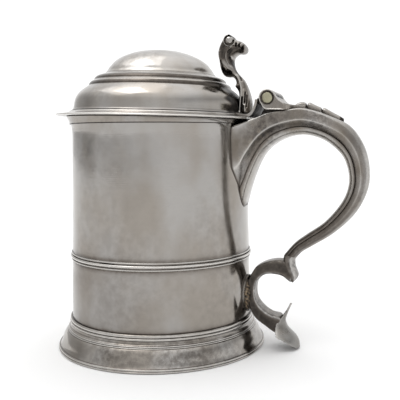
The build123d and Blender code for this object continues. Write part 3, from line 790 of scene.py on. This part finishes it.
def mirrored(half, width):
    """Closed section from its right half."""
    right = [(b * width, d, g) for b, d, g in half]
    return right + [(-b, d, g) for b, d, g in reversed(right)]


def plain_rings(stations, half):
    """Rings of one section along (back point, inner point, half width) stations."""
    flat = [(*back, *inner, width) for back, inner, width in stations]
    rings = []
    for bx, bz, ix, iz, width in curve(flat):
        middle, rise, half_depth = station_frame((bx, bz), (ix, iz))
        ring = []
        for across, depth, dark in chaikin(mirrored(half, width)):
            spot = middle + rise * (half_depth * (1 - 2 * depth))
            ring.append(((spot.x, across, spot.z), dark))
        rings.append(ring)
    return rings


lofted("handle_end", plain_rings(END_CAP, CAP_SECTION), "handle_end_cap")
lofted("lower_c_scroll", plain_rings(LOWER, LOWER_SECTION), "lower_scroll")

SHIELD_AXIS_X = 74.0
SHIELD_FRONT = curve([
    (85.4, 29.6), (82.6, 23.6), (80.8, 18.0), (81.8, 14.2), (84.0, 11.3), (87.2, 7.9),
    (89.2, 4.5), (89.8, 0.4),
], 10)
SHIELD_SIDE = curve([
    (0.0, 28.6), (3.4, 23.6), (5.6, 18.6), (8.2, 13.4), (12.0, 8.6), (10.6, 4.8), (5.6, 1.7),
    (0.0, 1.0),
], 10)
SHIELD_WALL = 1.3
SHIELD_TOP, SHIELD_TIP = 28.5, 1.05
SHIELD_ROWS, SHIELD_COLUMNS = 84, 36


def x_at(outline, z):
    """Linear x at a height on an outline of (x, z) points that runs down."""
    for (x0, z0), (x1, z1) in zip(outline, outline[1:]):
        if z1 <= z:
            return x0 + (z0 - z) / max(1e-9, z0 - z1) * (x1 - x0)
    return outline[-1][0]


def shield_rings():
    """Plate hollow from top to bottom and rounded from side to side, with a worn, nicked edge."""
    rng = random.Random(31)
    rings = []
    for row in range(SHIELD_ROWS + 1):
        down = math.sin(math.pi / 2 * row / SHIELD_ROWS) ** 1.15
        z = SHIELD_TOP - (SHIELD_TOP - SHIELD_TIP) * down
        radius = x_at(SHIELD_FRONT, z) - SHIELD_AXIS_X
        reach = math.asin(min(0.985, max(0.02, x_at(SHIELD_SIDE, z) / radius)))
        nick = rng.choice((0.0, 0.0, 0.02, 0.07)) if 6 < z < 24 else 0.0
        far_nick = rng.uniform(0.0, 0.015)
        ring = []
        for column in range(SHIELD_COLUMNS * 2):
            turn_by = math.pi * column / SHIELD_COLUMNS
            across, front = -math.cos(turn_by), math.sin(turn_by)
            limit = reach - (nick if across < 0 else far_nick) * abs(across) ** 6
            skin = math.copysign(abs(front) ** 0.4, front)
            here = radius - SHIELD_WALL / 2 * (1 - skin)
            angle = across * limit
            spot = (SHIELD_AXIS_X + here * math.cos(angle), here * math.sin(angle), z)
            ring.append((spot, -0.5 * abs(across) ** 12 if front >= -0.2 else 0.6))
        rings.append(ring)
    return rings


lofted("shield_plate", shield_rings(), "terminal_shield", shield_silver, 60)

# ---- cast pieces, built from distance fields


def segment_distance(px, pz, start, end):
    ex, ez = end[0] - start[0], end[1] - start[1]
    dx, dz = px - start[0], pz - start[1]
    t = np.clip((dx * ex + dz * ez) / max(1e-12, ex * ex + ez * ez), 0, 1)
    return np.hypot(dx - t * ex, dz - t * ez)


def line_distance(px, pz, points):
    """Distance to an open line."""
    return np.minimum.reduce([segment_distance(px, pz, *ends) for ends in zip(points, points[1:])])


def polygon_distance(px, pz, points):
    """Signed distance to a closed outline, negative inside."""
    closed = points + points[:1]
    inside = np.zeros(px.shape, bool)
    for (ax, az), (bx, bz) in zip(closed, closed[1:]):
        rise = bz - az
        crosses = (az > pz) != (bz > pz)
        inside ^= crosses & (px < ax + (bx - ax) * (pz - az) / (rise if abs(rise) > 1e-12 else 1e-12))
    away = line_distance(px, pz, closed)
    return np.where(inside, -away, away)


def smooth_max(a, b, k):
    """The larger of two fields, with a round of about k where they meet."""
    h = np.clip(0.5 + 0.5 * (a - b) / k, 0, 1)
    return b + (a - b) * h + k * h * (1 - h)


def bell(value, middle, width):
    """1 at middle, falling to 0 over about two widths."""
    return np.exp(-(((value - middle) / width) ** 2))


def window(array, offset, shape):
    """View of one corner of every cell."""
    return array[tuple(slice(o, o + s) for o, s in zip(offset, shape))]


def cell_points(values, tarnish):
    """Point (in cells) and tarnish of every cell the surface crosses, and the points' numbers."""
    shape = tuple(s - 1 for s in values.shape)
    total = np.zeros(shape + (3,))
    count = np.zeros(shape)
    dark = np.zeros(shape)
    for axis in range(3):
        for du in (0, 1):
            for dv in (0, 1):
                start = [0, 0, 0]
                start[(axis + 1) % 3], start[(axis + 2) % 3] = du, dv
                stop = list(start)
                stop[axis] = 1
                a, b = window(values, start, shape), window(values, stop, shape)
                crossed = (a < 0) != (b < 0)
                t = np.where(crossed, a / np.where(crossed, a - b, 1.0), 0.0)
                for k in range(3):
                    total[..., k] += np.where(crossed, start[k] + (t if k == axis else 0), 0)
                count += crossed
                dark += np.where(crossed, window(tarnish, start, shape), 0)
    active = count > 0
    number = np.full(shape, -1, int)
    number[active] = np.arange(active.sum())
    points = np.argwhere(active) + total[active] / count[active][:, None]
    return points, dark[active] / count[active], number


def cell_quads(inside, number):
    """A quad of four cells' points round every grid edge that the surface crosses."""
    faces = []
    for axis in range(3):
        u, v = (axis + 1) % 3, (axis + 2) % 3
        stop = [0, 0, 0]
        stop[axis] = 1
        a = window(inside, [0, 0, 0], number.shape)
        b = window(inside, stop, number.shape)
        edges = np.argwhere(a != b)
        edges = edges[(edges[:, u] > 0) & (edges[:, v] > 0)]
        back_u, back_v = np.zeros(3, int), np.zeros(3, int)
        back_u[u], back_v[v] = 1, 1
        corners = [edges - back_u - back_v, edges - back_v, edges, edges - back_u]
        quad = np.stack([number[tuple(c.T)] for c in corners], axis=1)
        flip = b[tuple(edges.T)]
        quad[flip] = quad[flip][:, ::-1]
        faces.append(quad[(quad >= 0).all(axis=1)])
    return np.concatenate(faces)


RELAX_ROUNDS = 2
CAST_SHARP = 180  # castings have no crisp edges


def surface(name, field, low, high, step, body, replaced, material):
    """Mesh of the zero surface of field(x, y, z) -> (distance, tarnish)."""
    axes = [np.arange(lo, hi + step, step) for lo, hi in zip(low, high)]
    values, tarnish = field(*np.meshgrid(*axes, indexing="ij"))
    points, dark, number = cell_points(values, tarnish)
    spots = points * step + np.array(low)
    quads = cell_quads(values < 0, number)
    mesh = bpy.data.meshes.new(name + "_raw")
    mesh.from_pydata((spots * MM).tolist(), [], quads.tolist())
    layer = mesh.attributes.new("tarnish_and_painted_light", "FLOAT", "POINT")
    layer.data.foreach_set("value", dark.astype(np.float32))
    bm = bmesh.new()
    bm.from_mesh(mesh)
    bpy.data.meshes.remove(mesh)
    for _ in range(RELAX_ROUNDS):
        bmesh.ops.smooth_vert(
            bm, verts=bm.verts, factor=0.5, use_axis_x=True, use_axis_y=True, use_axis_z=True
        )
    finish_mesh(name, bm, body, replaced, material, CAST_SHARP)


# ---- thumbpiece

THUMB_LEFT = [
    (51.6, 144.4), (51.8, 150.0), (51.9, 155.0), (51.6, 158.0), (50.8, 160.0), (49.6, 161.5),
    (49.2, 162.4), (49.8, 163.6), (49.8, 165.0), (49.0, 166.6), (47.5, 167.8), (44.8, 167.9),
    (42.6, 168.6), (41.2, 170.4), (40.4, 172.5), (39.9, 174.8), (39.5, 177.8), (39.0, 180.1),
    (38.9, 182.4), (39.3, 184.8), (40.2, 187.3), (41.6, 189.8), (42.5, 191.2), (43.8, 192.3),
    (45.2, 192.8),
]
THUMB_RIGHT = [
    (46.6, 192.8), (47.9, 192.1), (48.8, 190.8), (49.8, 189.9), (51.3, 189.6), (53.0, 189.0),
    (55.0, 187.6), (56.3, 186.0), (56.7, 184.4), (56.4, 183.0), (55.5, 181.9), (53.9, 181.4),
    (51.8, 181.6), (49.9, 180.8), (48.6, 179.5), (48.1, 177.5), (48.3, 175.4), (48.9, 173.1),
    (49.9, 171.2), (51.3, 169.4), (53.5, 167.3), (55.4, 164.8), (57.3, 160.6), (58.8, 155.8),
    (59.4, 151.7), (59.3, 147.5), (58.8, 144.4),
]
THUMB_WIDTH = [
    (144.0, 8.6), (150.0, 8.2), (156.0, 6.7), (160.0, 5.5), (166.0, 4.9), (170.0, 5.6),
    (174.0, 6.4), (183.0, 7.2), (195.0, 7.2),
]
THUMB_EYE = (46.9, 189.1)
EYE_RADIUS = 3.8
EYE_HALF = 7.2  # half thickness of the top scroll at its eye
THUMB_BEAD = (53.0, 8.2, 146.2)
BEAD_RADIUS = 0.85
CHEEK_ROUND = 3.0  # how far in from the outline the cheeks stay rounded
# Relief drawn on both cheeks: line, half width, height, tarnish (negative is a painted highlight on
# worn bright metal).
THUMB_RELIEF = [
    ([(43.6, 187.0), (42.2, 183.5), (42.4, 179.6)], 2.4, -0.3, 0.62),
    ([(47.0, 183.0), (50.0, 184.2), (53.4, 184.4)], 2.0, -0.5, 0.55),
    ([(46.6, 182.4), (46.4, 179.0), (47.6, 176.0)], 1.5, -0.3, 0.55),
    ([
        (40.2, 182.5), (40.5, 179.4), (42.0, 177.3), (43.8, 174.8), (45.9, 172.7),
        (48.5, 171.0), (50.8, 168.8),
    ], 1.15, 1.0, -0.15),
    ([
        (50.8, 168.8), (52.0, 166.8), (52.9, 164.5), (53.5, 161.9), (53.8, 158.9),
        (53.7, 155.8), (53.4, 151.6), (53.1, 146.5),
    ], 0.75, 1.0, -0.75),
    ([
        (48.1, 185.2), (46.2, 183.8), (45.0, 182.4), (44.5, 180.1), (44.8, 177.9),
        (46.0, 175.6), (48.1, 173.4), (50.6, 171.0),
    ], 0.42, 0.75, -0.35),
    ([
        (46.8, 179.2), (47.4, 177.3), (48.1, 175.2), (49.0, 172.7), (50.4, 170.4),
        (52.2, 167.9), (53.6, 165.4),
    ], 0.5, -1.1, 0.95),
    ([(48.7, 177.6), (48.9, 175.0), (50.2, 172.0), (52.4, 169.4), (54.6, 166.6)], 0.5, 0.5, -0.2),
    ([(41.3, 177.0), (41.7, 174.6), (42.3, 172.4)], 0.6, -1.2, 0.9),
    ([(42.4, 172.0), (43.4, 170.5), (45.0, 169.8), (46.6, 169.9)], 1.25, -3.2, 1.3),
    ([(40.4, 177.0), (41.0, 172.8), (42.0, 169.9)], 0.4, 0.5, -0.2),
    ([(51.2, 187.4), (50.8, 185.8)], 0.42, -1.2, 1.0),
    ([(53.2, 187.4), (52.7, 185.6)], 0.42, -1.2, 1.0),
    ([(55.2, 186.0), (54.5, 184.4)], 0.42, -1.2, 1.0),
    ([(50.2, 188.2), (50.0, 186.6)], 0.6, 0.7, -0.3),
    ([(52.3, 188.0), (51.9, 186.4)], 0.6, 0.7, -0.45),
    ([(54.3, 187.2), (53.8, 185.6)], 0.6, 0.7, -0.45),
    ([(56.0, 185.8), (56.0, 183.6), (55.3, 182.4)], 0.55, 0.8, -0.15),
    ([(54.9, 184.2), (54.4, 182.9), (53.0, 182.5)], 0.75, -1.6, 0.7),
    ([(52.2, 158.5), (52.4, 155.0), (52.2, 147.0)], 0.45, -0.8, 0.7),
    ([(54.6, 155.0), (54.5, 150.0), (54.4, 146.6)], 0.45, -1.5, 1.0),
    ([(55.3, 160.0), (55.6, 156.0), (55.5, 151.0)], 0.35, 0.45, -0.3),
    ([(56.2, 158.2), (56.3, 154.5), (56.3, 151.6)], 0.38, -1.3, 1.0),
    ([(57.3, 156.2), (57.5, 152.6), (57.4, 149.2)], 0.38, -1.3, 0.9),
    ([(56.7, 150.4), (56.7, 145.6)], 0.85, 0.7, -0.5),
    ([(54.9, 163.8), (55.6, 160.8)], 0.4, -0.3, 0.3),
    ([(53.9, 166.0), (54.9, 162.0)], 0.3, 0.25, -0.25),
    ([(47.7, 179.4), (47.6, 178.6)], 0.55, 0.8, -0.8),
    ([(43.0, 169.0), (43.1, 168.7)], 0.5, 0.5, -0.3),
]


def eye_relief(px, pz, radius):
    """Half thickness and tarnish of the top scroll's eye: a sunk ring round a lumpy boss, with a
    painted highlight on the boss and the ring outside it.
    """
    boss = np.sqrt(np.clip(1 - (radius / 2.3) ** 2, 0, 1)) * 1.3 + (radius < 2.25) * 0.5
    boss = boss + 0.18 * np.sin(2.9 * px + 1.3) * np.sin(3.3 * pz) * (radius < 2.0)
    height = EYE_HALF + 0.8 * bell(radius, 3.4, 0.34) - 1.8 * bell(radius, 2.72, 0.34) + boss
    ring_tone = 1.0 * bell(radius, 2.75, 0.36) - 0.35 * bell(radius, 3.45, 0.3)
    return height, np.where(radius < 2.2, -0.05, ring_tone)


def thumb_field(x, y, z):
    """Casting as a height over its middle plane: rounded edges, relief, eye and a side bead."""
    px, pz = x[:, 0, :], z[:, 0, :]
    edge = polygon_distance(px, pz, curve(THUMB_LEFT + THUMB_RIGHT, 4))
    width = np.interp(pz, *zip(*THUMB_WIDTH))
    share = np.clip(-edge / CHEEK_ROUND, 0, 1)
    height = width * (1 - (1 - share) ** 2.3) ** (1 / 2.3)
    tarnish = 0.26 - 0.18 * np.clip((160.0 - pz) / 8.0, 0, 1)
    swell = np.clip(-edge / 1.2, 0, 1)
    for line, half_width, rise, dark in THUMB_RELIEF:
        away = line_distance(px, pz, curve(line, 4) if len(line) > 2 else line)
        near = bell(away, 0.0, half_width)
        height = height + rise * near * swell
        tarnish = tarnish + dark * near
    radius = np.hypot(px - THUMB_EYE[0], pz - THUMB_EYE[1])
    eye_height, eye_tarnish_and_highlight = eye_relief(px, pz, radius)
    on_eye = radius < EYE_RADIUS
    height = np.where(on_eye, np.maximum(height, eye_height), height)
    tarnish = np.where(on_eye, eye_tarnish_and_highlight, tarnish)
    height = np.where(edge > 0, -3 * edge, height)
    slope_x, slope_z = np.gradient(height, px[1, 0] - px[0, 0])
    steep = np.sqrt(1 + slope_x**2 + slope_z**2)
    value = (np.abs(y) - height[:, None, :]) / steep[:, None, :]
    bead_x, bead_y, bead_z = THUMB_BEAD
    bead = np.sqrt((x - bead_x) ** 2 + (np.abs(y) - bead_y) ** 2 + (z - bead_z) ** 2) - BEAD_RADIUS
    tarnish = np.clip(tarnish, -0.9, 1.0)[:, None, :] * np.ones(y.shape)
    # The bead is painted as a bright highlight.
    tarnish = np.where(bead < 0.3, -0.9, tarnish)
    return np.minimum(value, bead), tarnish


surface(
    "thumb_casting", thumb_field, (37.5, -10.2, 144.2), (60.5, 10.2, 194.0), 0.27, "lid",
    ["thumbpiece", "thumb_volute_left", "thumb_volute_right"], cast_silver
)

# ---- hinge

round_knuckle = [math.radians(degrees) for degrees in range(25, 222, 6)]
BOX_SIDE = [(HINGE_X + 5 * math.cos(a), HINGE_Z + 5 * math.sin(a)) for a in round_knuckle]
BOX_SIDE += [(68.9, 148.7), (69.9, 147.7), (71.4, 147.1), (93.0, 146.6), (93.0, 150.0)]
BOX_SIDE += curve([(90.0, 150.1), (86.0, 150.25), (82.0, 150.8), (78.6, 153.0), (76.6, 155.4)], 4)
leaf_side = curve([(81.0, BOX_HALF), (84.4, 12.6), (87.0, 7.0), (93.0, 4.0)], 5)
BOX_TOP = [(60.0, -BOX_HALF), (81.0, -BOX_HALF)] + [(x, -y) for x, y in leaf_side]
BOX_TOP += leaf_side[::-1] + [(60.0, BOX_HALF)]
# The web under the box is a dark sheet that fills the wedge of shade between strap, box and handle.
SHADE_WEB = [(66.9, 142.6), (68.0, 145.6), (69.6, 148.0), (80.0, 148.0), (80.0, 142.6)]


SHADE_WEB_HALF = 13.0
SLOT_HALF = 12.1
SLOT_RADIUS = 5.3  # room for the lid's knuckle
END_FACE = 16.35  # the sunk faces at both ends of the box
WELL_FACE = 15.9  # the floor of the hole that holds each plug
WELL_RADIUS = 3.75
RIM_WIDTH = 0.75


def box_tarnish_and_shade(side, knuckle, notch, shade_web, half):
    """Worn rims, dull sunk ends, dark holes and notches, and the web black as painted shade."""
    sunk = (half > 15) & (half < 16.75)
    tarnish = np.where((side > -0.7) & (half > 16.3), -0.45, 0.05)
    tarnish = np.where(sunk & (side < -0.7), 0.28, tarnish)
    tarnish = np.where(sunk & (knuckle < 4.1), 0.85, tarnish)
    tarnish = tarnish + 0.5 * bell(notch, 0.0, 0.5) * (half > 9)
    return np.where(shade_web < 0.3, 1.0, tarnish)


def box_field(x, y, z):
    """Box and leaf with sunk ends, plug holes, a slot for the lid's knuckle, and a black web below
    that stands in for shade.
    """
    half = np.abs(y)
    flat_x, flat_z = x[:, 0, :], z[:, 0, :]
    side = polygon_distance(flat_x, flat_z, BOX_SIDE)[:, None, :]
    plan = polygon_distance(x[:, :, 0], y[:, :, 0], BOX_TOP)[:, :, None]
    knuckle = np.hypot(flat_x - HINGE_X, flat_z - HINGE_Z)
    value = smooth_max(side + 0 * y, half - BOX_HALF, 0.5)
    value = smooth_max(value, plan + 0 * z, 0.6)
    recess = np.maximum(side + RIM_WIDTH, END_FACE - half)
    well = np.maximum(knuckle[:, None, :] - WELL_RADIUS, WELL_FACE - half)
    shade_web = polygon_distance(flat_x, flat_z, SHADE_WEB)[:, None, :]
    shade_web = np.maximum(shade_web, half - SHADE_WEB_HALF)
    mouth = np.maximum(np.abs(flat_x - 66.1) - 3.0, np.abs(flat_z - HINGE_Z) - 8.0)
    slot = np.minimum(knuckle - SLOT_RADIUS, mouth)[:, None, :]
    slot = np.maximum(slot, half - SLOT_HALF)
    hatch = np.sin(2.6 * x + 1.3 * y) * np.sin(3.1 * y - 1.1 * x + 0.7)
    value = value + 0.10 * np.clip(hatch, 0, 1) * (half < 16.0)
    notch = np.hypot(x - 79.6 - 0.25 * (half - 11), (z - 152.9)) - 0.45
    for cut in (np.maximum(notch, 9.0 - half), recess, well, slot):
        value = np.maximum(value, -cut)
    return np.minimum(value, shade_web), box_tarnish_and_shade(side, knuckle[:, None, :], notch, shade_web, half)


surface(
    "hinge_case", box_field, (66.0, -17.6, 140.4), (93.8, 17.6, 159.8), 0.3, "tankard",
    ["hinge_box"], cast_silver
)

PLUG_FACE = 16.0
PLUG_SEGMENTS = 64
plug = with_tarnish_and_light([(0.0, 0.95), (1.4, 0.90), (2.5, 0.72), (3.0, 0.48), (3.25, 0.15)])
plug += [(3.3, -0.1, 0.8), (3.3, -0.9, 1.0), (0.0, -0.9, 1.0)]
for side_sign, title in ((-1, "right"), (1, "left")):

    def on_plug(point, angle, toward=side_sign):
        lump = 0.12 * noise.noise(Vector((point.x * 0.5, point.y * 0.5, toward * 3.0)))
        out = toward * (PLUG_FACE + point.z + lump)
        return Vector((HINGE_X + point.x, out, HINGE_Z + point.y))

    node = f"hinge_plug_{title}"
    turned(f"pin_plug_{title}", plug, "tankard", [node], pin_alloy, on_plug, PLUG_SEGMENTS)

DROP_TOP = curve([
    (84.0, 150.3), (86.0, 150.6), (88.0, 151.7), (90.4, 152.3), (92.4, 151.7), (93.2, 150.9),
], 5)
DROP_TOP += curve([
    (93.4, 150.9), (94.9, 151.8), (97.0, 150.9), (99.6, 149.6), (101.4, 148.9), (102.3, 148.3),
], 5)
DROP_TOP += curve([
    (102.5, 148.3), (104.0, 148.4), (106.2, 147.2), (108.8, 145.7), (112.2, 143.9),
    (115.2, 142.0),
], 5)
HANDLE_CREST = [(84.0, 147.6), (93.0, 148.2), (100.0, 146.8), (107.2, 143.9), (115.4, 140.1)]
DROP_HALF = [
    (84.0, 3.2), (87.0, 3.9), (90.0, 4.2), (93.3, 3.2), (95.5, 3.9), (98.0, 3.7), (102.4, 2.6),
    (104.5, 3.2), (107.0, 3.0), (111.0, 2.2), (113.8, 1.9), (115.3, 1.0),
]


DROP_START, DROP_END = 84.2, 115.3
DROP_SUNK = 2.0  # how far the drop reaches into the handle


def drop_field(x, y, z):
    """Three lobes with slits between them, lying on the back of the handle."""
    px = x[:, 0, 0]
    top, crest, half = (
        np.interp(px, *zip(*points))[:, None, None] for points in (DROP_TOP, HANDLE_CREST, DROP_HALF)
    )
    base = crest - DROP_SUNK
    slits = bell(x, 93.3, 0.3) + bell(x, 102.4, 0.3)
    above = z - (top - 1.1 * (y / half) ** 2 - 1.1 * slits)
    value = smooth_max(above, np.abs(y) - half + 0.4 * slits, 0.7)
    value = np.maximum(value, base - z)
    value = np.maximum(value, np.maximum(DROP_START - x, x - DROP_END))
    tip = np.clip((x - 112.6) / 0.8, 0, 1)
    foot = np.clip(1 - (z - base - 2.2) / 0.6, 0, 1)
    return value, np.clip(0.05 + 1.2 * slits + 0.9 * tip + 0.4 * foot, 0, 1)


surface(
    "hinge_drop_cast", drop_field, (83.6, -4.8, 137.6), (115.9, 4.8, 152.9), 0.26, "tankard",
    ["hinge_drop"], cast_silver
)

# ---- solder boss of the lower scroll


def boss_field(x, y, z):
    """Lumpy lens of solder that fills the corner between the barrel and the lower scroll."""
    lumps = 0.40 * np.sin(1.9 * y + 0.8) * np.sin(1.3 * z)
    lumps = lumps + 0.28 * np.sin(2.7 * z + 1.7 * y) + 0.16 * np.sin(4.3 * y - 2.2 * z)
    shape = np.sqrt(((x - 56.8) / 3.0) ** 2 + (y / 9.6) ** 2 + ((z - 33.8) / 10.4) ** 2) - 1
    value = 2.4 * shape - 0.55 * lumps
    barrel = 56.6 - np.hypot(x, y)
    low = np.clip(lumps * -2, 0, 1)
    high = np.clip(lumps - 0.42, 0, 1)
    return np.maximum(value, barrel), 0.25 + 0.6 * low - 0.5 * high


surface(
    "solder_fillet", boss_field, (54.6, -10.6, 22.2), (61.0, 10.6, 45.8), 0.3, "tankard",
    ["lower_mount_boss"], solder_metal
)

# ---- floor and light

FLOOR_HALF = 6.0  # metres
floor_mesh = bpy.data.meshes.new("floor")
floor_corners = [(FLOOR_HALF * x, FLOOR_HALF * y, 0) for x, y in ((-1, -1), (1, -1), (1, 1), (-1, 1))]
floor_mesh.from_pydata(floor_corners, [], [(0, 1, 2, 3)])
floor = bpy.data.objects.new("floor", floor_mesh)
bpy.context.scene.collection.objects.link(floor)
white = bpy.data.materials.new("paper")
paper = Nodes(white).shader
paper.inputs["Base Color"].default_value = (0.95, 0.95, 0.95, 1)
paper.inputs["Roughness"].default_value = 0.9
paper.inputs["Specular IOR Level"].default_value = 0.0
floor_mesh.materials.append(white)

world = bpy.data.worlds.new("studio")
bpy.context.scene.world = world
sky = Nodes(world)
direction = sky.add("ShaderNodeSeparateXYZ")
sky.link(sky.add("ShaderNodeTexCoord").outputs["Generated"], direction.inputs[0])
east, north, up = direction.outputs


def sky_towards(x, y):
    """How far a direction of the sky points towards (x, y)."""
    return sky.math("ADD", sky.math("MULTIPLY", east, x), sky.math("MULTIPLY", north, y))


# An even sky, a little dimmer in front, brighter overhead, with a dark card on either side.
front = sky.ramp(sky_towards(-0.75, -0.66), 0.25, 1.0, 1.12, 0.82)
above = sky.ramp(up, 0.5, 1.0, 0.0, 0.66)
left_card = sky.ramp(sky_towards(-0.966, 0.259), 0.80, 0.93, 0.0, -0.42)
right_card = sky.math("MULTIPLY", sky.ramp(east, 0.25, 0.75, 0.0, -0.5), sky.ramp(up, 0.25, 0.5))
strength = sky.math("ADD", sky.math("ADD", front, above), sky.math("ADD", left_card, right_card))
sky.link(strength, sky.shader.inputs["Strength"])
sky.shader.inputs["Color"].default_value = (1, 1, 1, 1)

LAMP_AIM = (0, 0, 0.1)


def softbox(name, place, size, power):
    """Area light that only shows in reflections, turned to the tankard."""
    data = bpy.data.lights.new(name, "AREA")
    data.shape = "RECTANGLE"
    data.size, data.size_y = size
    data.energy = power
    lamp = bpy.data.objects.new(name, data)
    bpy.context.scene.collection.objects.link(lamp)
    lamp.location = place
    lamp.visible_diffuse = False
    lamp.rotation_euler = (Vector(LAMP_AIM) - lamp.location).to_track_quat("-Z", "Y").to_euler()


softbox("overhead", (-0.50, -0.10, 1.5), (1.3, 1.2), 5.0)
softbox("overhead_key", (-0.45, -0.25, 1.4), (0.7, 0.5), 3.0)

bpy.context.scene.view_settings.view_transform = "Standard"
